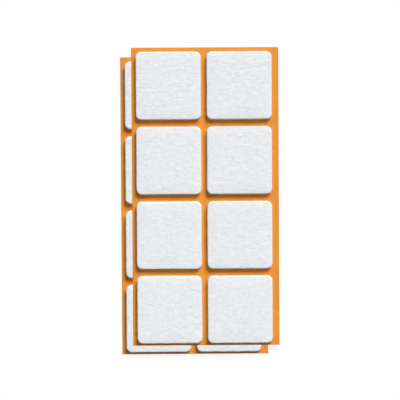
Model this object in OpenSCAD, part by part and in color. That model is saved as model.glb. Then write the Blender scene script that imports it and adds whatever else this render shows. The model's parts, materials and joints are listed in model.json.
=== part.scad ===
// Two stacked sheets of self-adhesive felt furniture pads.
// Each sheet is a paper release liner that carries rows of die-cut felt pads, each with
// its own adhesive film. The front sheet lies loose on the felt of the rear one.
// X runs across the sheets, Y along them and Z up, with the origin under the middle.

/* [Pads] */
// Width of one pad, across the sheet (mm)
pad_w = 35; // [20:0.1:60]
// Length of one pad, along the sheet (mm)
pad_l = 36.4; // [20:0.1:60]
// Thickness of the felt (mm)
felt_t = 3; // [2:0.1:8]
// Radius of the die-cut corners, seen from above (mm)
corner_r = 3; // [2:0.1:8]
// Radius of the edge that the die rolls down round the top of the felt (mm)
edge_r = 0.5; // [0.2:0.1:1.6]
// Thickness of the adhesive film under a pad (mm)
adhesive_t = 0.15; // [0.05:0.01:0.5]

/* [Sheet] */
// Pads across a sheet
columns = 2; // [1:1:3]
// Pads along a sheet
rows = 4; // [1:1:4]
// Gap between pads, across the sheet (mm)
gap_w = 2.9; // [1:0.1:10]
// Gap between pads, along the sheet (mm)
gap_l = 3.7; // [1:0.1:10]
// Bare liner to the left of the pads (mm)
margin_left = 2.3; // [0.5:0.1:10]
// Bare liner to the right of the pads (mm)
margin_right = 3.7; // [0.5:0.1:10]
// Bare liner above the pads (mm)
margin_top = 2.3; // [0.5:0.1:10]
// Bare liner below the pads (mm)
margin_bottom = 1.2; // [0.5:0.1:10]
// Thickness of the release liner (mm)
liner_t = 0.15; // [0.1:0.01:0.4]
// Width of the score that the die leaves in the liner round each pad (mm)
score_w = 0.2; // [0.1:0.02:0.6]
// Depth of that score (mm)
score_d = 0.05; // [0.02:0.01:0.08]

/* [Stack] */
// Distance that the front sheet lies to the right of the rear one (mm)
shift_w = 6; // [0:0.5:15]
// Distance that the front sheet lies above the rear one (mm)
shift_l = 5; // [0:0.5:15]

/* [Hidden] */
$fn = 96;

// Size of one liner, from the pads that it carries
sheet_w = margin_left + columns * pad_w + (columns - 1) * gap_w + margin_right;
sheet_l = margin_bottom + rows * pad_l + (rows - 1) * gap_l + margin_top;

// Lower left corner of each sheet, with the pair centred on the origin
rear_corner = [-(sheet_w + shift_w) / 2, -(sheet_l + shift_l) / 2, 0];
front_corner = rear_corner + [shift_w, shift_l, liner_t + adhesive_t + felt_t];

// Heights above the underside of a sheet
adhesive_z = liner_t;
felt_z = liner_t + adhesive_t;

// Length of a pad's straight edges, between its corners
straight_w = pad_w - 2 * corner_r;
straight_l = pad_l - 2 * corner_r;

// Room past a face that a cut has to break through
cut_over = 1;

felt_white = [0.90, 0.92, 0.93];
liner_orange = [0.93, 0.58, 0.24];
adhesive_cream = [0.93, 0.90, 0.80];

// Pads are numbered along the rows, from the top left
pad_count = columns * rows;

// Middle of pad n on its sheet, from the sheet's lower left corner
function pad_x(n) = margin_left + pad_w / 2 + ((n - 1) % columns) * (pad_w + gap_w);
function pad_y(n) =
  sheet_l - margin_top - pad_l / 2 - floor((n - 1) / columns) * (pad_l + gap_l);
function pad_place(n) = [pad_x(n), pad_y(n), 0];

// Quarter of a disk, in the first quadrant
module quarter_disk(r) {
  intersection() {
    circle(r);
    square(r);
  }
}

// Rectangle with rounded corners, centred, whose straight edges end where the arcs begin
module rounded_outline(across, along, r) {
  square([across + 2 * r, along], center = true);
  square([across, along + 2 * r], center = true);
  for (sx = [0, 1], sy = [0, 1])
    mirror([sx, 0])
      mirror([0, sy])
        translate([across / 2, along / 2])
          quarter_disk(r);
}

// Outline that the die cuts, grown by an equal amount all round
module pad_outline(grow = 0) {
  rounded_outline(straight_w, straight_l, corner_r + grow);
}

// Section through the felt at its edge, from where a corner's arc is centred out to the wall
module felt_section() {
  square([corner_r, felt_t - edge_r]);
  translate([0, felt_t - edge_r])
    square([corner_r - edge_r, edge_r]);
  translate([corner_r - edge_r, felt_t - edge_r])
    quarter_disk(edge_r);
}

// One felt pad, centred: a flat middle inside four straight edges and four turned corners
module felt_pad() {
  linear_extrude(felt_t)
    square([straight_w, straight_l], center = true);
  for (side = [0 : 3]) {
    across = side % 2 == 0 ? straight_w : straight_l;
    along = side % 2 == 0 ? straight_l : straight_w;
    rotate(90 * side)
      translate([across / 2, 0, 0])
        rotate([90, 0, 0])
          linear_extrude(along, center = true)
            felt_section();
    rotate(90 * side)
      translate([across / 2, along / 2, 0])
        rotate_extrude(angle = 90)
          felt_section();
  }
}

// Ring that the die scores into the liner along a pad's outline
module kiss_cut() {
  translate([0, 0, liner_t - score_d])
    linear_extrude(score_d + cut_over)
      difference() {
        pad_outline(score_w / 2);
        pad_outline(-score_w / 2);
      }
}

// Release liner of one sheet, scored round every pad
module liner() {
  difference() {
    cube([sheet_w, sheet_l, liner_t]);
    for (n = [1 : pad_count])
      translate(pad_place(n))
        kiss_cut();
  }
}

module rear_liner() {
  color(liner_orange)
    translate(rear_corner)
      liner();
}

module front_liner() {
  color(liner_orange)
    translate(front_corner)
      liner();
}

// Adhesive film of pad n on the sheet that starts at corner
module adhesive(corner, n) {
  color(adhesive_cream)
    translate(corner + pad_place(n) + [0, 0, adhesive_z])
      linear_extrude(adhesive_t)
        pad_outline();
}

// Felt of pad n on the sheet that starts at corner
module felt(corner, n) {
  color(felt_white)
    translate(corner + pad_place(n) + [0, 0, felt_z])
      felt_pad();
}

rear_liner();
front_liner();
for (n = [1 : pad_count]) {
  adhesive(rear_corner, n);
  felt(rear_corner, n);
  adhesive(front_corner, n);
  felt(front_corner, n);
}
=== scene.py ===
"""Dresses two stacked sheets of self-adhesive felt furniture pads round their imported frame.

Lengths are in metres, in the frame's own axes: X across the sheets, Y along them and Z up.
"""

import json
import math

import bpy
import numpy as np
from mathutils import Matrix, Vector


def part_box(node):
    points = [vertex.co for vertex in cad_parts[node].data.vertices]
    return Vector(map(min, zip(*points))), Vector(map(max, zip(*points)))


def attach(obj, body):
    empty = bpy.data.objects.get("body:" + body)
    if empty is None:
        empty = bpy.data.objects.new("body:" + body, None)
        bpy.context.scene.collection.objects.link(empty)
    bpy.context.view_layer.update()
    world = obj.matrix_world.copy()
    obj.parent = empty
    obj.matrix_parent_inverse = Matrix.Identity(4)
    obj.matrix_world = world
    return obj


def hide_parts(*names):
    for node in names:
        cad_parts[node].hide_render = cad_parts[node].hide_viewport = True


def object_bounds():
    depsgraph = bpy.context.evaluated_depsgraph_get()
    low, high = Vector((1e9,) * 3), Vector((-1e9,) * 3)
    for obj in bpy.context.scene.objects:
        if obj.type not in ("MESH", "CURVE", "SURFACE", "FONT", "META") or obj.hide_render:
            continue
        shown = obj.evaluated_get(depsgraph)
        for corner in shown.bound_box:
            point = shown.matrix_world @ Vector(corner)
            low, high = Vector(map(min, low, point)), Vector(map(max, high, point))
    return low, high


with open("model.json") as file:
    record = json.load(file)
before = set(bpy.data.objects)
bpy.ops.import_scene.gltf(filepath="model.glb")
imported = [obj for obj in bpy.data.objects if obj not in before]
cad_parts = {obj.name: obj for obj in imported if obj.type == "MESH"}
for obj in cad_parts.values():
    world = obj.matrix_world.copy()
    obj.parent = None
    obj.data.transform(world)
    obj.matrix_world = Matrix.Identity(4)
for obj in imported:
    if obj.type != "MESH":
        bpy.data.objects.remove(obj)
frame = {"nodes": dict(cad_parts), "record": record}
cad_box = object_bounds()

bl_info = {
    "name": "Felt pad sheets",
    "version": (1, 0, 0),
    "blender": (4, 5, 0),
    "location": "View3D > Sidebar > Felt pads",
    "description": "Dresses two stacked sheets of self-adhesive felt furniture pads",
    "category": "Object",
}

MM = 0.001
BODIES = frame["record"]["behaviour"]["bodies"]
FELT_NODES = sorted(n for n in frame["nodes"] if "_felt_" in n)
LINER_NODES = sorted(n for n in frame["nodes"] if n.endswith("_liner"))
ADHESIVE_NODES = sorted(n for n in frame["nodes"] if "_adhesive_" in n)


def body_of_node(node):
    """Name of the moving body that a node belongs to."""
    return next(body for body, nodes in BODIES.items() if node in nodes)


def lit_group(name):
    """Collection of the pieces that a sheet's key light reaches. The name starts with that sheet."""
    group = name.split("_")[0] + "_lit"
    return bpy.data.collections.get(group) or bpy.data.collections.new(group)


# Settings that a user would change


def length(name, description, default):
    """A length property, in metres."""
    return bpy.props.FloatProperty(
        name=name, description=description, default=default, precision=6, unit="LENGTH"
    )


def colour(name, description, default):
    """A colour property, in linear values."""
    return bpy.props.FloatVectorProperty(
        name=name, description=description, default=default, size=3, min=0, max=1, subtype="COLOR"
    )


def share(name, description, default):
    """A property from nought to one."""
    return bpy.props.FloatProperty(
        name=name, description=description, default=default, min=0, max=1, subtype="FACTOR"
    )


def angle(name, description, degrees):
    """An angle property, given in degrees."""
    return bpy.props.FloatProperty(
        name=name, description=description, default=math.radians(degrees), subtype="ANGLE"
    )


def amount(name, description, default):
    """A property that is never below nought."""
    return bpy.props.FloatProperty(name=name, description=description, default=default, min=0)


def whole(name, description, default):
    """A property that counts, from one."""
    return bpy.props.IntProperty(name=name, description=description, default=default, min=1)


class FeltSettings(bpy.types.PropertyGroup):
    """Form and finish of the felt pads."""

    corner: length("Corner radius", "Radius of the die-cut corners", 3.0 * MM)
    edge: length("Rolled edge", "Radius of the edge that the die rolls down", 0.5 * MM)
    nap: length("Nap", "Depth of loose fibres over the matted felt", 0.04 * MM)
    crown: length("Crown", "How far the top falls from its middle to the rolled edge", 0.25 * MM)
    crown_reach: length("Crown reach", "Distance from the edge over which most of it falls", 3.6 * MM)
    relief: length("Relief", "Unevenness of the matted felt, root mean square", 0.018 * MM)
    wobble: length("Edge wobble", "Unevenness of the die-cut outline, root mean square", 0.03 * MM)
    fray: length("Fray", "Unevenness of the cut wall, root mean square", 0.04 * MM)
    fibre: length("Fibre radius", "Radius of the loose fibres", 0.018 * MM)
    lying: whole("Lying fibres", "Loose fibres on top of a pad", 900)
    fuzz: whole("Edge fibres", "Fibre ends that stand out of a pad's edge", 700)
    seed: whole("Seed", "Start of the random draws", 7)
    # The felt's tone runs between these two as the mat rises: the deep colour holds painted shade between
    # the fibres, the light one painted light on the raised fibres, besides the felt's own random grain.
    light: colour("Light felt", "Colour of the raised fibres", (0.91, 0.945, 0.96))
    dark: colour("Deep felt", "Colour between the fibres", (0.78, 0.815, 0.835))


class LinerSettings(bpy.types.PropertyGroup):
    """Form and finish of the release liners."""

    score_width: length("Score width", "Width of the die's score round a pad", 0.2 * MM)
    score_depth: length("Score depth", "Depth of that score", 0.05 * MM)
    score_lip: length("Score lip", "Height of the lips beside the score", 0.02 * MM)
    curl: length("Curl", "Most that a bare margin lifts", 0.2 * MM)
    orange: colour("Orange", "Colour of the coated face", (0.80, 0.285, 0.027))
    back: colour("Back", "Colour of the bare back", (0.76, 0.31, 0.06))
    core: colour("Core", "Colour of cut paper", (0.84, 0.48, 0.20))


class AdhesiveSettings(bpy.types.PropertyGroup):
    """Finish of the adhesive films."""

    film: colour("Film", "Colour of the adhesive", (0.80, 0.74, 0.58))
    tissue: colour("Tissue", "Colour of the tissue fibres in the film", (0.88, 0.85, 0.76))


class StageSettings(bpy.types.PropertyGroup):
    """Camera, light and floor."""

    place: bpy.props.FloatVectorProperty(
        name="Camera place",
        description="Where the camera stands",
        default=(-0.00752, 0.0373, 1.0),
        subtype="TRANSLATION",
    )
    turn: bpy.props.FloatVectorProperty(
        name="Camera turn",
        description="How the camera is turned from looking straight down",
        default=(math.radians(-2.0986), math.radians(-0.4458), math.radians(-0.3472)),
        subtype="EULER",
    )
    lens: amount("Lens", "Focal length in millimetres", 166.98)
    key_turn: angle("Key turn", "Angle of the key lights from +Y towards +X", 24)
    key_height: angle("Key height", "Angle of the key lights above the floor", 40)
    key_size: angle("Key size", "Angle that a key light fills, which softens its shadows", 28)
    key: amount("Key light", "Strength of each key light", 3.86)
    sky: amount("Sky light", "Strength of the light from all round", 0.21)
    floor: colour("Floor", "Colour of the floor", (0.95, 0.95, 0.95))
    bounce: colour("Floor bounce", "Colour of the floor in the light that it throws back", (0.4, 0.4, 0.4))
    white: share("Floor white", "How far the seen floor is plain white", 0.85)


# Numpy helpers


def unit(vectors):
    """Vectors of length one, along the last axis."""
    return vectors / np.maximum(np.linalg.norm(vectors, axis=-1, keepdims=True), 1e-12)


def waves(points, rng, along, across, count=160):
    """Random field of unit spread: cosines with seeded wave vectors and phases, summed.

    Their wavelengths spread about `along` in X and `across` in Y and Z.
    """
    spread = 2 * np.pi / np.array([along, across, across])
    vectors = rng.normal(0, 1, (count, 3)) * spread
    phases = rng.uniform(0, 2 * np.pi, count)
    return np.cos(points @ vectors.T + phases).sum(axis=-1) * math.sqrt(2 / count)


def lattice(rings):
    """Square lattice of vertices that lie in rings round its middle one.

    Gives each vertex's ring number, the point of the unit square's rim that it lies towards,
    the lattice's quads, and its rim in order, both anticlockwise from above.
    """
    count = 2 * rings + 1
    line = np.linspace(-1, 1, count)
    a, b = (g.ravel() for g in np.meshgrid(line, line, indexing="ij"))
    ring = np.maximum(abs(a), abs(b))
    outward = np.where(ring > 0, ring, 1)
    index = np.arange(count * count).reshape(count, count)
    quads = np.stack([index[:-1, :-1], index[1:, :-1], index[1:, 1:], index[:-1, 1:]], axis=-1)
    rim = np.concatenate([index[:-1, 0], index[-1, :-1], index[:0:-1, -1], index[0, :0:-1]])
    towards = np.stack([a / outward, b / outward], axis=-1)
    return np.rint(ring * rings).astype(int), towards, quads.reshape(-1, 4), rim


def rounded_rim(towards, half, radius):
    """Points of a rounded rectangle's outline, and its outward normals there.

    Each side of the unit square is laid along a side of the outline by arc length, and its
    corners fall in the middle of the rounded corners.
    """
    x, y = towards[:, 0], towards[:, 1]
    upright = abs(x) >= abs(y)
    step = np.where(upright, y, x)
    straight = np.where(upright, half[1], half[0]) - radius
    across = np.where(upright, half[0], half[1]) - radius
    run = abs(step) * (straight + radius * np.pi / 4)
    turn = np.clip((run - straight) / radius, 0, np.pi / 4)
    side = np.sign(np.where(upright, x, y))
    off = np.sign(step)
    p = np.stack([
        side * (across + radius * np.cos(turn)),
        off * (np.minimum(run, straight) + radius * np.sin(turn)),
    ], axis=-1)
    n = np.stack([side * np.cos(turn), off * np.sin(turn)], axis=-1)
    swap = ~upright
    p[swap], n[swap] = p[swap][:, ::-1], n[swap][:, ::-1]
    return p, n


def rounded_depth(xy, half, radius):
    """Depth of points inside a rounded rectangle's outline, negative outside it."""
    past = abs(xy) - (np.asarray(half) - radius)
    outside = np.linalg.norm(np.maximum(past, 0), axis=-1)
    return radius - outside - np.minimum(past.max(axis=-1), 0)


# Sides of a fibre's tube, and a direction that fibres hardly ever follow, from which its ring is turned
TUBE_SIDES, ASIDE = 3, (0.36, 0.48, 0.80)


def tubes(lines, radii):
    """Closed tubes of a few sides round centrelines.

    lines holds (tube, step, xyz) and radii (tube, step). Each ring lies square to its line.
    """
    count, steps, _ = lines.shape
    tangent = unit(np.gradient(lines, axis=1))
    side = unit(np.cross(tangent, ASIDE))
    over = np.cross(tangent, side)
    turn = 2 * np.pi * np.arange(TUBE_SIDES) / TUBE_SIDES
    ring = side[:, :, None, :] * np.cos(turn)[:, None] + over[:, :, None, :] * np.sin(turn)[:, None]
    points = lines[:, :, None, :] + radii[:, :, None, None] * ring
    index = np.arange(count * steps * TUBE_SIDES).reshape(count, steps, TUBE_SIDES)
    turned = np.roll(index, -1, axis=2)
    walls = np.stack([index[:, :-1], turned[:, :-1], turned[:, 1:], index[:, 1:]], axis=-1)
    ends = np.concatenate([index[:, 0, ::-1], index[:, -1]])
    return points.reshape(-1, 3), walls.reshape(-1, 4), ends


def put_mesh(name, points, faces, material, flat_faces=0):
    """New mesh object from points and a list of face arrays, of which the last few faces are flat."""
    corners = np.concatenate([f.ravel() for f in faces])
    sizes = np.concatenate([np.full(len(f), f.shape[1]) for f in faces])
    starts = np.cumsum(sizes) - sizes
    smooth = np.arange(len(sizes)) < len(sizes) - flat_faces
    mesh = bpy.data.meshes.new(name)
    mesh.vertices.add(len(points))
    mesh.vertices.foreach_set("co", np.asarray(points, np.float32).ravel())
    mesh.loops.add(len(corners))
    mesh.loops.foreach_set("vertex_index", corners.astype(np.int32))
    mesh.polygons.add(len(sizes))
    mesh.polygons.foreach_set("loop_start", starts.astype(np.int32))
    mesh.polygons.foreach_set("use_smooth", smooth)
    mesh.update(calc_edges=True)
    if mesh.validate():
        raise ValueError(f"{name} has faces that are not valid")
    mesh.materials.append(material)
    made = bpy.data.objects.new(name, mesh)
    bpy.context.scene.collection.objects.link(made)
    return made


def add_attribute(piece, name, values):
    """Number at each vertex of a piece, for its material to read."""
    attribute = piece.data.attributes.new(name, "FLOAT", "POINT")
    attribute.data.foreach_set("value", np.asarray(values, np.float32))


# Name of the map that a piece is baked through
BAKE_MAP = "OFBake"


def add_map(piece, places):
    """Map of a piece for its bake, with a place for each corner of its faces in turn."""
    layer = piece.data.uv_layers.new(name=BAKE_MAP, do_init=False)
    layer.uv.foreach_set("vector", np.asarray(places, np.float32).ravel())


# Shader maths


class Signal:
    """A node's output socket. Arithmetic on it adds Math nodes to its tree."""

    def __init__(self, finish, socket):
        self.finish = finish
        self.socket = socket

    def maths(self, operation, *values):
        """Math node of an operation on signals and numbers."""
        numbered = dict(enumerate(values))
        return self.finish.node("ShaderNodeMath", {"operation": operation}, numbered)

    def __add__(self, other):
        return self.maths("ADD", self, other)

    def __sub__(self, other):
        return self.maths("SUBTRACT", self, other)

    def __rsub__(self, other):
        return self.maths("SUBTRACT", other, self)

    def __mul__(self, other):
        return self.maths("MULTIPLY", self, other)

    def __abs__(self):
        return self.maths("ABSOLUTE", self)

    def most(self, other):
        """The greater of two values."""
        return self.maths("MAXIMUM", self, other)

    __radd__ = __add__
    __rmul__ = __mul__


class Finish:
    """A node tree that is being written: one method adds any node."""

    def __init__(self, owner):
        owner.use_nodes = True
        self.tree = owner.node_tree
        self.tree.nodes.clear()

    def node(self, kind, settings=None, inputs=None, output=0):
        """Adds a node, sets its settings, then sets or links its sockets. Gives one output."""
        made = self.tree.nodes.new(kind)
        for key, value in (settings or {}).items():
            setattr(made, key, value)
        for key, value in (inputs or {}).items():
            if isinstance(value, Signal):
                self.tree.links.new(value.socket, made.inputs[key])
            else:
                made.inputs[key].default_value = value
        return Signal(self, made.outputs[output])

    def place(self):
        """Object coordinates, which are the frame's own."""
        return self.node("ShaderNodeTexCoord", output="Object")

    def wander(self, reach, grain):
        """Object coordinates pushed about by a noise, so that straight patterns wander."""
        push = self.node(
            "ShaderNodeTexNoise",
            {"noise_dimensions": "3D"},
            {"Vector": self.place(), "Scale": 1 / grain, "Detail": 1.0},
            output="Color",
        )
        about = self.node("ShaderNodeVectorMath", {"operation": "SUBTRACT"}, {0: push, 1: (0.5, 0.5, 0.5)})
        far = self.node("ShaderNodeVectorMath", {"operation": "SCALE"}, {0: about, "Scale": reach})
        return self.node("ShaderNodeVectorMath", {"operation": "ADD"}, {0: self.place(), 1: far})

    def noise(self, size, turn=0.0, detail=2.0, rough=0.55, at=None):
        """Noise from nought to one, whose grains measure size in X, Y and Z after a turn about Z."""
        turned = self.node(
            "ShaderNodeMapping",
            {"vector_type": "TEXTURE"},
            {"Vector": at or self.place(), "Rotation": (0, 0, turn), "Scale": size},
        )
        return self.node(
            "ShaderNodeTexNoise",
            {"noise_dimensions": "3D"},
            {"Vector": turned, "Scale": 1.0, "Detail": detail, "Roughness": rough},
        )

    def span(self, value, low, high, to_low=0.0, to_high=1.0):
        """Value taken from low..high to to_low..to_high, and held there."""
        return self.node(
            "ShaderNodeMapRange",
            {"clamp": True},
            {"Value": value, "From Min": low, "From Max": high, "To Min": to_low, "To Max": to_high},
        )

    def attribute(self, name):
        """Number that a piece holds at each vertex."""
        return self.node("ShaderNodeAttribute", {"attribute_name": name}, output="Fac")

    def mix(self, factor, first, second):
        """Colour between two, by a factor."""
        tints = {6: first, 7: second}
        for key, value in tints.items():
            tints[key] = value if isinstance(value, Signal) else (*value, 1.0)
        settings = {"data_type": "RGBA", "blend_type": "MIX"}
        return self.node("ShaderNodeMix", settings, {0: factor, **tints}, output=2)

    def bump(self, height, distance, strength=1.0):
        """Normal that a height, in units of the distance, tilts."""
        inputs = {"Height": height, "Distance": distance, "Strength": strength}
        return self.node("ShaderNodeBump", None, inputs)

    def surface(self, **inputs):
        """Principled surface of these inputs, whose spaces are written as underscores."""
        named = {key.replace("_", " "): value for key, value in inputs.items()}
        self.out(self.node("ShaderNodeBsdfPrincipled", None, named))

    def out(self, shader, kind="ShaderNodeOutputMaterial"):
        """Ends the tree with a shader."""
        end = self.tree.nodes.new(kind)
        self.tree.links.new(shader.socket, end.inputs["Surface"])


# Fibre layers of the felt, lowest first: turn in degrees, fibre spacing, and height in the mat, which also
# paints higher fibres lighter as painted light
FELT_LAYERS = (
    (24, 0.15 * MM, 0.50),
    (-72, 0.18 * MM, 0.65),
    (56, 0.17 * MM, 0.75),
    (-34, 0.20 * MM, 0.90),
    (10, 0.21 * MM, 1.00),
)
# Length of a fibre in spacings, and how far from its contour the noise still counts as fibre
FIBRE_LENGTH, FIBRE_BREADTH = 16, 0.085


def felt_finish(felt):
    """White needle felt: layers of wandering fibres, each the contour of a stretched noise.

    The highest fibre shows at each point. Tufts and needle pits vary the mat's height and tone,
    and the cut wall shows the layers that the mat was laid in. The tone follows the height:
    raised fibres and tufts get painted light, and the gaps between fibres and the pits get
    painted shade. Clouds and dashes are the felt's own random grain. Loose fibres are painted
    lighter, to offset the shade on their own sides.
    """
    material = bpy.data.materials.new("needle_felt")
    f = Finish(material)
    bent = f.wander(1.1 * MM, 1.4 * MM)
    mat = None
    for turn, spacing, height in FELT_LAYERS:
        size = (FIBRE_LENGTH * spacing, spacing, spacing)
        layer = f.noise(size, math.radians(turn), detail=0.0, at=bent)
        fibre = f.span(abs(layer - 0.5), 0.0, FIBRE_BREADTH, height, 0.0)
        mat = mat.most(fibre) if mat else fibre
    tufts = f.noise((2.6 * MM, 1.3 * MM, 1.3 * MM), math.radians(6), detail=0.0)
    dashes = f.span(f.noise((3.0 * MM, 0.8 * MM, 0.8 * MM), math.radians(-4), detail=1.0), 0.36, 0.64)
    clouds = f.noise((5.0 * MM, 3.0 * MM, 3.0 * MM))
    pits = f.span(f.noise((0.8 * MM, 0.6 * MM, 0.6 * MM), detail=1.0, at=bent), 0.30, 0.46, 1.0, 0.0)
    side, loose = f.attribute("side"), f.attribute("loose")
    laid = f.noise((2.4 * MM, 2.4 * MM, 0.24 * MM), detail=1.0)
    ends = f.span(f.noise((0.28 * MM, 0.28 * MM, 0.20 * MM), detail=1.0), 0.34, 0.60)
    cut = side * (1.1 - laid * 0.9 - ends * 0.7)
    # Tone: painted light on raised fibres and tufts, painted shade in the gaps and pits, the felt's own
    # grain from dashes and clouds, and the cut wall darker where it is pressed in
    shade = mat * 0.50 + tufts * 0.50 + dashes * 0.22 + clouds * 0.28 - pits * 0.22 - cut * 0.5
    # Loose fibres are painted lighter, as painted light that offsets the shade on their sides and the small
    # shadows they throw
    tone = f.span(shade + loose * 0.4, 0.31, 1.06)
    height = (mat * 0.045 + tufts * 0.05 - pits * 0.02 - cut * 0.10) * (1.0 - loose)
    f.surface(
        Base_Color=f.mix(tone, tuple(felt.dark), tuple(felt.light)),
        Roughness=f.span(mat, 0.2, 1.0, 0.98, 0.82),
        Specular_IOR_Level=0.2,
        Sheen_Weight=0.1,
        Sheen_Roughness=0.6,
        Normal=f.bump(height, MM),
    )
    return material


def liner_finish(liner):
    """Orange silicone-coated paper: satin face with faint fibres, paler back, pale cut score."""
    material = bpy.data.materials.new("release_paper")
    f = Finish(material)
    cloud = f.noise((3.5 * MM, 2.6 * MM, 3.0 * MM), detail=4.0)
    grain = f.noise((0.25 * MM, 0.60 * MM, 0.3 * MM), detail=3.0)
    bent = f.wander(0.8 * MM, 1.2 * MM)
    lines = f.noise((0.16 * MM, 2.6 * MM, 0.2 * MM), math.radians(14), detail=0.0, at=bent)
    fibres = f.span(abs(lines - 0.5), 0.0, 0.05, 1.0, 0.0)
    flecks = f.span(f.noise((0.22 * MM, 0.6 * MM, 0.2 * MM), turn=math.radians(20)), 0.66, 0.74)
    back, cut, footprint = f.attribute("back"), f.attribute("cut"), f.attribute("footprint")
    deep = tuple(c * 0.86 for c in liner.orange)
    face = f.mix(f.span(cloud * 0.5 + grain * 0.5, 0.32, 0.66), deep, tuple(liner.orange))
    face = f.mix(flecks * 0.20 + fibres * 0.10, face, tuple(liner.core))
    paper = f.mix(f.span(back, 0.2, 0.8), face, f.mix(flecks * 0.5, tuple(liner.back), tuple(liner.core)))
    f.surface(
        Base_Color=f.mix(cut * 0.75, paper, tuple(liner.core)),
        Roughness=0.52 + grain * 0.16 + back * 0.25 - footprint * 0.08,
        Specular_IOR_Level=0.28,
        Normal=f.bump(grain * 0.014 + cloud * 0.02 + fibres * 0.004, MM),
    )
    return material


def adhesive_finish(adhesive):
    """Tacky cream film: tissue fibres under a glossy skin that holds tiny dimples."""
    material = bpy.data.materials.new("tissue_adhesive")
    f = Finish(material)
    first = f.noise((2.0 * MM, 0.14 * MM, 0.14 * MM), turn=math.radians(25), detail=3.0)
    second = f.noise((1.6 * MM, 0.12 * MM, 0.12 * MM), turn=math.radians(-50), detail=3.0)
    threads = (1.0 - abs(first * 2.0 - 1.0)).most(1.0 - abs(second * 2.0 - 1.0))
    dimples = f.noise((0.5 * MM, 0.5 * MM, 0.5 * MM), detail=1.0)
    tint = f.mix(f.span(threads, 0.8, 1.0), tuple(adhesive.film), tuple(adhesive.tissue))
    f.surface(
        Base_Color=tint,
        Roughness=f.span(dimples, 0.3, 0.7, 0.16, 0.30),
        Specular_IOR_Level=0.5,
        Normal=f.bump(dimples * 0.7 + threads * 0.3, 0.03 * MM, 0.6),
    )
    return material


# Felt pads

# Rings of a pad's lattice on its flat top, on its rolled edge and down its wall
FLAT_RINGS, ROLL_RINGS, WALL_RINGS = 54, 6, 9
PAD_RINGS = FLAT_RINGS + ROLL_RINGS + WALL_RINGS
# Wave fields of the outline, the top and the cut wall: length along and across, and weight
OUTLINE_WAVES = ((5.0 * MM, 5.0 * MM, 0.8), (1.6 * MM, 1.6 * MM, 0.6))
TOP_WAVES = ((6.0 * MM, 3.0 * MM, 0.7), (9.0 * MM, 7.0 * MM, 0.7))
WALL_WAVES = ((1.3 * MM, 1.3 * MM, 1.0),)
# Spreads that the fields are held to, and the height above the foot over which they fade in
HELD, FOOT = 2, 0.4 * MM


def pressed(points, rng, fields):
    """Weighted sum of wave fields, held to a few spreads, and counted down from the highest."""
    total = sum(weight * waves(points, rng, along, across) for along, across, weight in fields)
    return HELD - np.clip(total, -HELD, HELD)


def felt_form(half, thick, felt, rng):
    """Points and faces of one die-cut pad about the middle of its underside.

    A lattice's rings are laid on the pad: the inner ones shrink the outline to the middle of
    the flat top, the next turn a quarter circle over the rolled edge, and the last go down the
    wall. The top falls towards the edge as an exponential of the depth inside the outline. Wave
    fields then press the outline, the matted skin and the frayed wall in from their full size.
    The last result says how far each point lies on the wall, from nought to one.
    """
    ring, towards, quads, rim = lattice(PAD_RINGS)
    rolled = np.linspace(0, np.pi / 2, ROLL_RINGS + 1)[1:]
    down = np.linspace(felt.edge, thick, WALL_RINGS + 1)[1:]
    tilt = np.concatenate([np.zeros(FLAT_RINGS + 1), rolled, np.full(WALL_RINGS, np.pi / 2)])[ring]
    shrink = np.minimum(np.arange(PAD_RINGS + 1) / FLAT_RINGS, 1)[ring]
    drop = np.concatenate([np.zeros(FLAT_RINGS + 1), felt.edge * (1 - np.cos(rolled)), down])[ring]
    line, normal = rounded_rim(towards, half, felt.corner)
    line3 = np.column_stack([line, np.zeros(len(line))])
    dent = felt.wobble * pressed(line3, rng, OUTLINE_WAVES)
    inset = felt.edge * (1 - np.sin(tilt)) + dent
    xy = (line - normal * inset[:, None]) * shrink[:, None]
    full = thick - felt.nap - crown_fall(xy, half, felt)
    points = np.column_stack([xy, full * (1 - drop / thick)])
    skin = np.column_stack([normal * np.sin(tilt)[:, None], np.cos(tilt)])
    press = felt.relief * pressed(points, rng, TOP_WAVES)
    side = np.sin(tilt)
    press += felt.fray * pressed(points, rng, WALL_WAVES) * side
    foot = np.clip(points[:, 2] / FOOT, 0, 1)
    points -= skin * (press * foot)[:, None]
    return points, quads, rim, side


def crown_fall(xy, half, felt):
    """How far the top lies under its middle: an exponential of the depth inside the outline."""
    depth = np.maximum(rounded_depth(xy, half, felt.corner) - felt.edge, 0)
    return felt.crown * np.exp(-depth / felt.crown_reach)


# Points of a fibre's centreline
STRAND_STEPS = 5
# Lying fibres: room to the edge, spread of their headings in radians, and range of lengths in mm
LYING_ROOM, LYING_SPREAD, LYING_LENGTH = 0.3 * MM, 0.55, (1.2, 4.5)
# Spread of their bows, as the square and as the cube of the run
SQUARE_BOW, CUBE_BOW = 0.5, 1.2
# How steeply a fibre hangs down past the rolled edge, and how far at most
HANG_SLOPE, HANG_MOST = 2, 1.2 * MM


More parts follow.
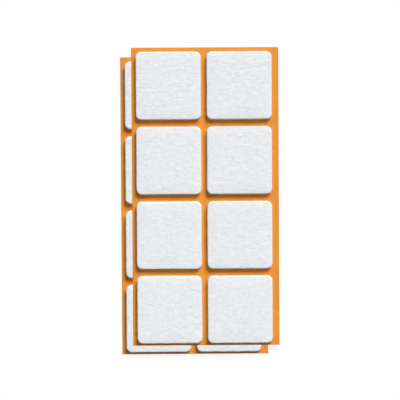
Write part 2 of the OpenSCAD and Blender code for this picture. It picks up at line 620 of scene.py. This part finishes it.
def lying_fibres(half, thick, felt, rng):
    """Centrelines and radii of loose fibres that lie on a pad.

    Each runs mostly along X, bows sideways as the square and the cube of its run, follows the
    felt's top and rolled edge, and rises out of the nap in its middle.
    """
    count = felt.lying
    step = np.linspace(-0.5, 0.5, STRAND_STEPS)
    middle = rng.uniform(-1, 1, (count, 1, 2)) * (np.asarray(half) - LYING_ROOM)
    heading = rng.normal(0, LYING_SPREAD, (count, 1))
    run = rng.uniform(*LYING_LENGTH, (count, 1)) * MM * step
    curve = rng.normal(0, SQUARE_BOW, (count, 1)) * (step**2 - 1 / 12)
    curve += rng.normal(0, CUBE_BOW, (count, 1)) * (step**3 - 0.15 * step)
    bow = curve * rng.uniform(*LYING_LENGTH, (count, 1)) * MM
    xy = middle + np.stack(
        [run * np.cos(heading) - bow * np.sin(heading), run * np.sin(heading) + bow * np.cos(heading)],
        axis=-1,
    )
    short = np.clip(felt.edge - rounded_depth(xy, half, felt.corner), 0, None)
    sunk = felt.edge - np.sqrt(np.maximum(felt.edge**2 - np.minimum(short, felt.edge) ** 2, 0))
    sunk += np.minimum(np.maximum(short - felt.edge, 0) * HANG_SLOPE, HANG_MOST) + crown_fall(xy, half, felt)
    rise = rng.uniform(0.4, 1.0, (count, 1)) * felt.nap * (1 - (2 * step) ** 2)
    z = thick - 2 * felt.nap - sunk + rise
    radii = felt.fibre * rng.uniform(0.6, 1.0, (count, 1)) * (1 - 0.6 * abs(2 * step))
    return np.concatenate([xy, z[..., None]], axis=-1), radii


# Edge fibres: share that stands in tufts, fibres for each tuft that there is, and spread of a tuft
TUFT_SHARE, TUFT_EVERY, TUFT_SPREAD = 0.35, 25, 0.008
# Shape and scale in mm of their lengths, spread of their slants, and spread of their bends
FUZZ_LENGTH, FUZZ_SLANT, FUZZ_BEND = (3.0, 0.13), 0.55, 0.5
# Where they leave the pad, in quarter turns over the rolled edge: past one they stand on the wall
FUZZ_TURNS = (0.1, 1.9)
# Heights that their roots and their tips keep above the pad's underside
ROOT_ROOM, TIP_ROOM = 0.5 * MM, 0.1 * MM


def edge_fuzz(half, thick, felt, rng):
    """Centrelines and radii of fibre ends that stand out of a pad's edge.

    Each starts just inside the wall or the rolled edge, leaves it at a random slant and bends
    as the square of its run. About a third of them stand together in tufts.
    """
    count = felt.fuzz
    step = np.linspace(0, 1, STRAND_STEPS)[None, :, None]
    shared = rng.uniform(0, 1, count) < TUFT_SHARE
    tuft = np.where(shared, rng.integers(0, max(count // TUFT_EVERY, 1), count), np.arange(count))
    towards = rng.uniform(-1, 1, (count, 2))[tuft] + rng.normal(0, TUFT_SPREAD, (count, 2))
    upright = (rng.uniform(0, 1, count) < half[1] / (half[0] + half[1]))[tuft]
    end = np.sign(rng.uniform(-1, 1, count))[tuft]
    towards = np.clip(towards, -1, 1)
    towards[upright, 0], towards[~upright, 1] = end[upright], end[~upright]
    line, normal = rounded_rim(towards, half, felt.corner)
    tilt = np.clip(rng.uniform(*FUZZ_TURNS, count)[tuft], 0, 1) * np.pi / 2
    wall = np.where(tilt < np.pi / 2, 0, rng.uniform(0, 1, count)[tuft]) * (thick - felt.edge - ROOT_ROOM)
    drop = felt.edge * (1 - np.cos(tilt)) + wall
    inset = felt.edge * (1 - np.sin(tilt)) + 3 * felt.wobble
    root = np.column_stack([line - normal * inset[:, None], thick - felt.nap - drop])
    out = np.column_stack([normal * np.sin(tilt)[:, None], 0.4 * np.cos(tilt)])
    slant = unit(out + rng.normal(0, FUZZ_SLANT, (count, 3)) * (1, 1, 0.5))
    bend = rng.normal(0, FUZZ_BEND, (count, 3))
    long = rng.gamma(*FUZZ_LENGTH, count) * MM
    lines = root[:, None] + (slant[:, None] * step + bend[:, None] * step**2 / 2) * long[:, None, None]
    lines[..., 2] = np.clip(lines[..., 2], TIP_ROOM, thick - felt.fibre)
    radii = felt.fibre * rng.uniform(0.45, 0.85, (count, 1)) * (1 - 0.7 * step[0, :, 0])
    return lines, radii


# Sides of the squares on a pad's map: the felt's, the flat top's as a share of it, and the underside's
MAP_FELT, MAP_TOP, MAP_UNDER = 0.935, 0.88, 0.05
# Where the strip with the fibres begins beside the felt, the fibres across it, and how full each place is
MAP_STRIP, STRIP_COLUMNS, STRIP_FILL = 0.945, 4, 0.9


def felt_map(walls, ends):
    """Places of a pad's face corners on its map.

    The lattice is laid out as a square, in which the flat top gets most of the room. A strip
    beside it holds the fibres, with their steps across it and their sides along it, and the
    underside lies at its foot.
    """
    ring, towards, quads, rim = lattice(PAD_RINGS)
    out = np.interp(ring, [0, FLAT_RINGS, PAD_RINGS], [0, MAP_TOP, 1])
    square = (towards * out[:, None] + 1) / 2
    corners = np.concatenate([walls.ravel(), ends.ravel()])
    ring_number, side = np.divmod(corners, TUBE_SIDES)
    tube, step = np.divmod(ring_number, STRAND_STEPS)
    row, column = np.divmod(tube, STRIP_COLUMNS)
    across = (column + STRIP_FILL * step / (STRAND_STEPS - 1)) / STRIP_COLUMNS
    along = (row + side / TUBE_SIDES) / (row.max() + 1)
    strip = np.column_stack([
        MAP_STRIP + (1 - MAP_STRIP) * across,
        1 - MAP_FELT + MAP_FELT * along,
    ])
    under = square[rim[::-1]] * MAP_UNDER + (MAP_STRIP, 0)
    return np.concatenate([square[quads].reshape(-1, 2) * MAP_FELT, strip, under])


class FELT_OT_make_pads(bpy.types.Operator):
    """Make every felt pad with its loose fibres."""

    bl_idname = "felt.make_pads"
    bl_label = "Felt pads"

    def execute(self, context):
        felt = context.scene.felt_pads
        material = felt_finish(felt)
        for number, node in enumerate(FELT_NODES):
            rng = np.random.default_rng([felt.seed, number])
            low, high = (np.array(corner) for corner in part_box(node))
            half, thick = (high - low)[:2] / 2, (high - low)[2]
            points, quads, rim, side = felt_form(half, thick, felt, rng)
            lines, radii = (
                np.concatenate(pair)
                for pair in zip(lying_fibres(half, thick, felt, rng), edge_fuzz(half, thick, felt, rng))
            )
            hairs, walls, ends = tubes(lines, radii)
            base = np.append((low + high)[:2] / 2, low[2])
            shift = len(points)
            piece = put_mesh(
                node.replace("_felt_", "_felt_pad_"),
                np.concatenate([points, hairs]) + base,
                [quads, walls + shift, ends + shift, rim[None, ::-1]],
                material,
                flat_faces=1,
            )
            add_attribute(piece, "side", np.append(side, np.zeros(len(hairs))))
            # Marks the loose fibres, which the felt finish paints lighter as painted light and keeps smooth
            add_attribute(piece, "loose", np.repeat([0.0, 1.0], [len(points), len(hairs)]))
            add_map(piece, felt_map(walls, ends))
            lit_group(node).objects.link(piece)
            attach(piece, body_of_node(node))
            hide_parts(node)
        return {"FINISHED"}


# Release liners

# Rings of a cell's lattice inside the score, across it and from it to the cell's sides
INNER_RINGS, SCORE_RINGS, OUTER_RINGS = 10, 8, 6
OUTLINE_RING = INNER_RINGS + SCORE_RINGS
CELL_RINGS = OUTLINE_RING + OUTER_RINGS
# How far the score and its lips reach to either side of a pad's outline, in widths of the score
SCORE_REACH = 2.0
# Distance from the pads at which a margin has its full curl
CURL_REACH = 3.3 * MM
# Swells along the margins: their length, and the middle and the swing of the curl's share
SWELL_LENGTH, SWELL_MIDDLE, SWELL_SWING = 47 * MM, 0.55, 0.45
# How far out a cell's covered middle and its score reach on a liner's map, and how full a cell's place is
MAP_RINGS, CELL_FILL = (0.30, 0.50), 0.99
# Widths on that map: the coated face, then the cut edge between its gaps, then the back
MAP_FACE, MAP_EDGE, MAP_BACK = 0.66, (0.665, 0.672), 0.677


def liner_form(node, liner, corner):
    """Points, faces, vertex numbers and map of one liner.

    The sheet is cut into one cell round each pad. A lattice's rings are laid on a cell: the
    inner ones shrink the pad's outline to its middle, the next cross the score, and the last
    go straight from the outline to the cell's sides. The score is a cosine dip between two
    lips, and the bare margins lift as the square of their distance from the pads.
    """
    low, high = (np.array(c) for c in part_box(node))
    sheet = node.split("_")[0]
    boxes = [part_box(n) for n in FELT_NODES if n.startswith(sheet)]
    boxes = np.array([[tuple(a), tuple(b)] for a, b in boxes])[:, :, :2]
    ring, towards, quads, rim = lattice(CELL_RINGS)
    across = np.linspace(-1, 1, SCORE_RINGS + 1)
    offset = np.concatenate([np.full(INNER_RINGS, -1.0), across, np.ones(OUTER_RINGS)])[ring]
    shrink = np.minimum(np.arange(CELL_RINGS + 1) / INNER_RINGS, 1)[ring]
    spread = np.clip((ring - OUTLINE_RING) / OUTER_RINGS, 0, 1)
    reach = SCORE_REACH * liner.score_width
    pads_low, pads_high = boxes[:, 0].min(axis=0), boxes[:, 1].max(axis=0)
    middles = boxes.mean(axis=1)
    cells, faces = [], []
    size = len(ring)
    for number, (pad_low, pad_high) in enumerate(boxes):
        line, normal = rounded_rim(towards, (pad_high - pad_low) / 2, corner)
        near = (line + normal * (offset * reach)[:, None]) * shrink[:, None] + middles[number]
        cell_low, cell_high = cell_sides(number, boxes, low, high)
        side = cell_low + (towards + 1) / 2 * (cell_high - cell_low)
        cells.append(near + (side - near) * spread[:, None])
        faces.append(quads + number * size)
    xy = np.concatenate(cells)
    t = np.tile(np.where((ring > INNER_RINGS) & (ring < OUTLINE_RING), offset, 1.0), len(boxes))
    dip = np.where(abs(t) < 0.5, -liner.score_depth * (0.5 + 0.5 * np.cos(2 * np.pi * t)), 0.0)
    lip = np.where(abs(t) >= 0.5, liner.score_lip * np.sin(np.pi * (2 * abs(t) - 1)) ** 2, 0.0)
    past = np.linalg.norm(np.maximum(np.maximum(pads_low - xy, xy - pads_high), 0), axis=1)
    swell = SWELL_MIDDLE + SWELL_SWING * np.cos(2 * np.pi * (xy[:, 0] + xy[:, 1]) / SWELL_LENGTH)
    curl = liner.curl * np.clip(past / CURL_REACH, 0, 1) ** 2 * swell
    top = np.column_stack([xy, high[2] + dip + lip + curl])
    under = np.column_stack([xy, low[2] + curl])
    tops = np.concatenate(faces)
    count = len(top)
    border = cell_borders(rim, boxes, xy, low, high, size)
    wall = np.column_stack([border[:, 0] + count, border[:, 1] + count, border[:, 1], border[:, 0]])
    points = np.concatenate([top, under])
    numbers = {
        "footprint": np.tile(ring <= INNER_RINGS + SCORE_RINGS // 2, 2 * len(boxes)),
        "back": np.repeat([0.0, 1.0], count),
        "cut": np.concatenate([np.where(dip < -0.3 * liner.score_depth, 1.0, 0.0), np.zeros(count)]),
    }
    out = np.interp(ring, [0, INNER_RINGS, OUTLINE_RING, CELL_RINGS], [0, *MAP_RINGS, 1])
    square = (towards * out[:, None] + 1) / 2
    places = np.concatenate([
        laid_cells(square, middles)[tops].reshape(-1, 2) * (MAP_FACE, 1),
        laid_back(xy, low, high)[tops[:, ::-1]].reshape(-1, 2),
        laid_wall(len(wall)),
    ])
    return points, [tops, tops[:, ::-1] + count, wall], numbers, places


def laid_cells(square, middles):
    """Map places of every cell's vertices: the cells lie side by side as they do on the sheet."""
    spot, counts = [], []
    for axis in range(2):
        found, number = np.unique(np.round(middles[:, axis], 6), return_inverse=True)
        spot.append(number.ravel())
        counts.append(len(found))
    spot = np.stack(spot, axis=-1)
    return ((spot[:, None] + square * CELL_FILL) / counts).reshape(-1, 2)


def laid_back(xy, low, high):
    """Map places of the back: the sheet as it looks from below."""
    part = (xy - low[:2]) / (high - low)[:2]
    return np.column_stack([MAP_BACK + (1 - MAP_BACK) * (1 - part[:, 0]), part[:, 1]])


def laid_wall(count):
    """Map places of the cut edge's corners: its faces lie above one another in a strip."""
    along = np.arange(count)[:, None] + np.array([0, 1, 1, 0])
    across = np.broadcast_to(np.array(MAP_EDGE)[[0, 0, 1, 1]], along.shape)
    return np.stack([across, along / count], axis=-1).reshape(-1, 2)


def cell_sides(number, boxes, low, high):
    """Lower left and upper right corner of the cell round a pad, halfway to its neighbours."""
    pad_low, pad_high = boxes[number]
    left = boxes[:, 1, 0][boxes[:, 1, 0] < pad_low[0]]
    right = boxes[:, 0, 0][boxes[:, 0, 0] > pad_high[0]]
    below = boxes[:, 1, 1][boxes[:, 1, 1] < pad_low[1]]
    above = boxes[:, 0, 1][boxes[:, 0, 1] > pad_high[1]]
    return (
        np.array([
            (left.max() + pad_low[0]) / 2 if len(left) else low[0],
            (below.max() + pad_low[1]) / 2 if len(below) else low[1],
        ]),
        np.array([
            (right.min() + pad_high[0]) / 2 if len(right) else high[0],
            (above.min() + pad_high[1]) / 2 if len(above) else high[1],
        ]),
    )


def cell_borders(rim, boxes, xy, low, high, size):
    """Edges of the cells that lie on the sheet's own border, as pairs of vertices in order."""
    close = 0.0001 * MM
    pairs = np.stack([rim, np.roll(rim, -1)], axis=-1)
    pairs = np.concatenate([pairs + n * size for n in range(len(boxes))])
    ends = xy[pairs]
    on_low = (abs(ends - low[:2]) < close).all(axis=1)
    on_high = (abs(ends - high[:2]) < close).all(axis=1)
    return pairs[(on_low | on_high).any(axis=1)]


def joined(points, faces, numbers):
    """Points that lie together made one, with the faces and vertex numbers that use them."""
    _, first, back = np.unique(np.round(points, 8), axis=0, return_index=True, return_inverse=True)
    back = back.ravel()
    return points[first], [back[f] for f in faces], {k: v[first] for k, v in numbers.items()}


class FELT_OT_make_liners(bpy.types.Operator):
    """Make the two release liners, scored round their pads."""

    bl_idname = "felt.make_liners"
    bl_label = "Release liners"

    def execute(self, context):
        liner = context.scene.felt_liners
        material = liner_finish(liner)
        for node in LINER_NODES:
            *form, places = liner_form(node, liner, context.scene.felt_pads.corner)
            points, faces, numbers = joined(*form)
            piece = put_mesh(node + "_paper", points, faces, material, flat_faces=len(faces[-1]))
            add_map(piece, places)
            for name, values in numbers.items():
                add_attribute(piece, name, values)
            lit_group(node).objects.link(piece)
            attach(piece, body_of_node(node))
            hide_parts(node)
        return {"FINISHED"}


class FELT_OT_finish_adhesive(bpy.types.Operator):
    """Give the adhesive film under each pad its finish."""

    bl_idname = "felt.finish_adhesive"
    bl_label = "Adhesive films"

    def execute(self, context):
        material = adhesive_finish(context.scene.felt_adhesive)
        for node in ADHESIVE_NODES:
            film = frame["nodes"][node]
            film.data.materials.clear()
            film.data.materials.append(material)
            lit_group(node).objects.link(film)
        return {"FINISHED"}


# Stage

# Half the floor's side, and how far it lies under the object
FLOOR_HALF, FLOOR_GAP = 3.0, 0.02 * MM
# Nearest and furthest that the camera sees
CAMERA_NEAR, CAMERA_FAR = 0.01, 100


def seen_straight(finish):
    """One where a ray comes from the camera, or by a mirror or through glass, else nought."""
    kinds = ("Is Camera Ray", "Is Glossy Ray", "Is Transmission Ray")
    rays = [finish.node("ShaderNodeLightPath", output=kind) for kind in kinds]
    return rays[0].most(rays[1]).most(rays[2])


def floor_finish(stage):
    """Pale floor that looks white straight on and still takes the object's shadow."""
    material = bpy.data.materials.new("white_floor")
    f = Finish(material)
    seen = seen_straight(f)
    tint = f.mix(seen, tuple(stage.bounce), tuple(stage.floor))
    matt = f.node("ShaderNodeBsdfDiffuse", None, {"Color": tint})
    white = f.node("ShaderNodeEmission", None, {"Color": (1, 1, 1, 1), "Strength": 1.0})
    f.out(f.node("ShaderNodeMixShader", None, {0: seen * stage.white, 1: matt, 2: white}))
    return material


def make_world(stage):
    """Even light from all round, which the camera sees as white."""
    world = bpy.data.worlds.new("studio")
    bpy.context.scene.world = world
    f = Finish(world)
    light = f.node("ShaderNodeBackground", None, {"Color": (1, 1, 1, 1), "Strength": stage.sky})
    white = f.node("ShaderNodeBackground", None, {"Color": (1, 1, 1, 1), "Strength": 1.0})
    shader = f.node("ShaderNodeMixShader", None, {0: seen_straight(f), 1: light, 2: white})
    f.out(shader, "ShaderNodeOutputWorld")


def make_keys(stage):
    """One key light for each sheet, from the same side, as if each sheet were lit alone.

    The front sheet's key also lights the floor, and everything throws its shadow in it. In the
    rear sheet's key, only that sheet does, so its strips beside the front sheet stay bright.
    """
    level = math.cos(stage.key_height)
    towards = Vector((
        math.sin(stage.key_turn) * level, math.cos(stage.key_turn) * level, math.sin(stage.key_height)
    ))
    for name, bars in (("front_key", None), ("rear_key", lit_group("rear"))):
        key = bpy.data.objects.new(name, bpy.data.lights.new(name, "SUN"))
        key.data.energy, key.data.angle = stage.key, stage.key_size
        key.location = towards
        key.rotation_euler = towards.to_track_quat("Z", "Y").to_euler()
        key.light_linking.receiver_collection = lit_group(name)
        key.light_linking.blocker_collection = bars
        bpy.context.scene.collection.objects.link(key)


class FELT_OT_make_stage(bpy.types.Operator):
    """Set the camera, the light and the floor."""

    bl_idname = "felt.make_stage"
    bl_label = "Stage"

    def execute(self, context):
        scene, stage = context.scene, context.scene.felt_stage
        scene.view_settings.view_transform = "Standard"
        camera = bpy.data.objects.new("camera", bpy.data.cameras.new("camera"))
        camera.location, camera.rotation_euler = stage.place, stage.turn
        camera.data.lens = stage.lens
        camera.data.clip_start, camera.data.clip_end = CAMERA_NEAR, CAMERA_FAR
        scene.collection.objects.link(camera)
        scene.camera = camera
        make_keys(stage)
        corners = np.array([(-1, -1), (1, -1), (1, 1), (-1, 1)]) * FLOOR_HALF
        points = np.column_stack([corners, np.full(4, cad_box[0].z - FLOOR_GAP)])
        floor = put_mesh("floor", points, [np.arange(4)[None]], floor_finish(stage))
        lit_group("front").objects.link(floor)
        make_world(stage)
        return {"FINISHED"}


class FELT_PT_panel(bpy.types.Panel):
    """Sidebar panel with every step and its settings."""

    bl_label = "Felt pad sheets"
    bl_space_type = "VIEW_3D"
    bl_region_type = "UI"
    bl_category = "Felt pads"

    def draw(self, context):
        for operator, settings in STEPS:
            box = self.layout.box()
            box.operator(operator.bl_idname)
            group = getattr(context.scene, settings)
            for name in group.bl_rna.properties.keys():
                if name not in ("rna_type", "name"):
                    box.prop(group, name)


STEPS = (
    (FELT_OT_make_stage, "felt_stage"),
    (FELT_OT_make_liners, "felt_liners"),
    (FELT_OT_finish_adhesive, "felt_adhesive"),
    (FELT_OT_make_pads, "felt_pads"),
)
SETTINGS = {
    "felt_stage": StageSettings,
    "felt_liners": LinerSettings,
    "felt_adhesive": AdhesiveSettings,
    "felt_pads": FeltSettings,
}
CLASSES = (*SETTINGS.values(), *(operator for operator, _ in STEPS), FELT_PT_panel)


def register():
    for cls in CLASSES:
        bpy.utils.register_class(cls)
    for name, group in SETTINGS.items():
        setattr(bpy.types.Scene, name, bpy.props.PointerProperty(type=group))


def unregister():
    for name in SETTINGS:
        delattr(bpy.types.Scene, name)
    for cls in reversed(CLASSES):
        bpy.utils.unregister_class(cls)


def main():
    """Registers the add-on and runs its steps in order."""
    register()
    bpy.ops.felt.make_stage()
    bpy.ops.felt.make_liners()
    bpy.ops.felt.finish_adhesive()
    bpy.ops.felt.make_pads()


if __name__ == "__main__":
    main()
